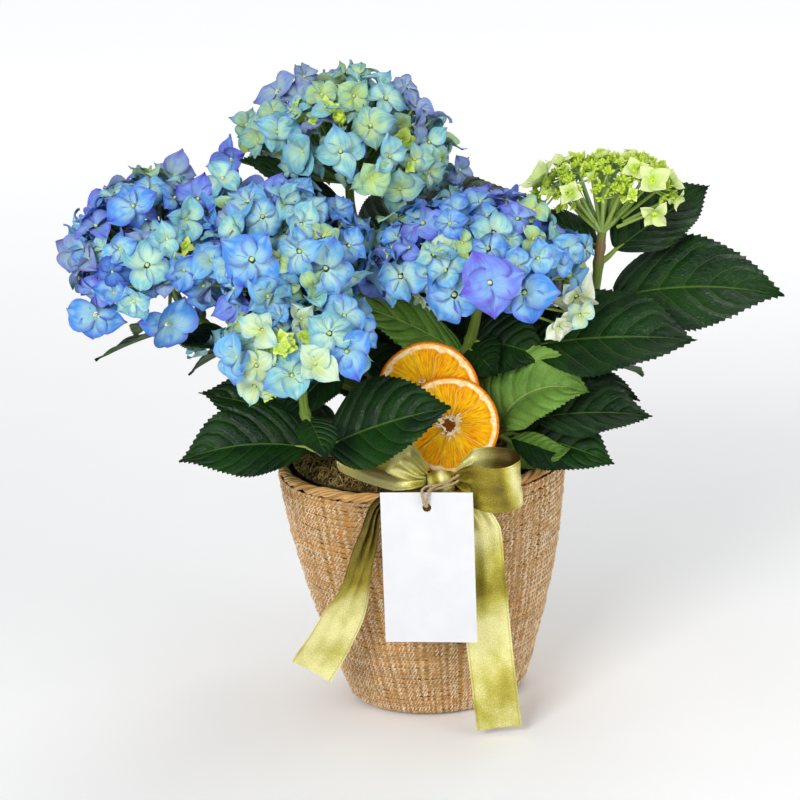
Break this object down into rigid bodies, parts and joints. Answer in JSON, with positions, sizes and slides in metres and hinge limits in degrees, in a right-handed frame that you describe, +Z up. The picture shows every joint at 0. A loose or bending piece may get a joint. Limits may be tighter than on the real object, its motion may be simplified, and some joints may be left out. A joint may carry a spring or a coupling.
{
  "type": "potted hydrangea in basket",
  "caption": "Blue mophead hydrangea growing in a coiled seagrass basket, with a satin ribbon bow, dried orange slices and a blank card on a loop of twine.",
  "frame": {"origin": "middle of the basket's flat underside, on the surface it stands on", "axes": "+Z up, +Y away from the front where the bow and card hang, +X to the right as seen from the front"},
  "size_m": [0.3981, 0.2689, 0.3611],
  "materials": {
    "seagrass": "coiled and stitched seagrass, dry and matt",
    "moss": "damp dark compost under dry moss",
    "dried_orange": "dried orange slice, leathery rind and translucent flesh",
    "satin": "olive green satin ribbon with a fine glitter",
    "card": "matt white card, bare",
    "twine": "twisted jute twine",
    "bark": "green stem turning woody and brown at the foot",
    "leaf": "glossy dark green leaf with sunk veins",
    "blossom": "soft thin sepals, sky blue to violet with aqua and cream",
    "lime_buds": "lime green flower buds and young sepals"
  },
  "bodies": {
    "root": {"basket": "seagrass", "rim_braid": "seagrass", "moss_bed": "moss", "orange_slice_front": "dried_orange", "orange_slice_back": "dried_orange", "ribbon_knot": "satin", "ribbon_loop_left": "satin", "ribbon_loop_right": "satin", "ribbon_tail_left": "satin", "ribbon_tail_right": "satin", "blank_card": "card", "twine_loop": "twine", "main_stem": "bark", "bough_front": "bark", "bough_right": "bark", "bough_bud": "bark", "bough_top": "bark", "bough_left_inner": "bark", "bough_left_outer": "bark", "bough_back_left": "bark", "bough_back_right": "bark", "bough_low_right": "bark", "bough_low_back_right": "bark", "bough_low_left": "bark", "bough_low_back": "bark", "leaves_front": "leaf", "leaves_right": "leaf", "leaves_bud": "leaf", "leaves_top": "leaf", "leaves_left_inner": "leaf", "leaves_left_outer": "leaf", "leaves_back_left": "leaf", "leaves_back_right": "leaf", "leaves_low_right": "leaf", "leaves_low_back_right": "leaf", "leaves_low_left": "leaf", "leaves_low_back": "leaf", "bloom_front": "blossom", "bloom_right": "blossom", "bloom_bud": "lime_buds", "bloom_top": "blossom", "bloom_left_inner": "blossom", "bloom_left_outer": "blossom", "bloom_back_left": "blossom", "bloom_back_right": "blossom"}
  },
  "joints": []
}
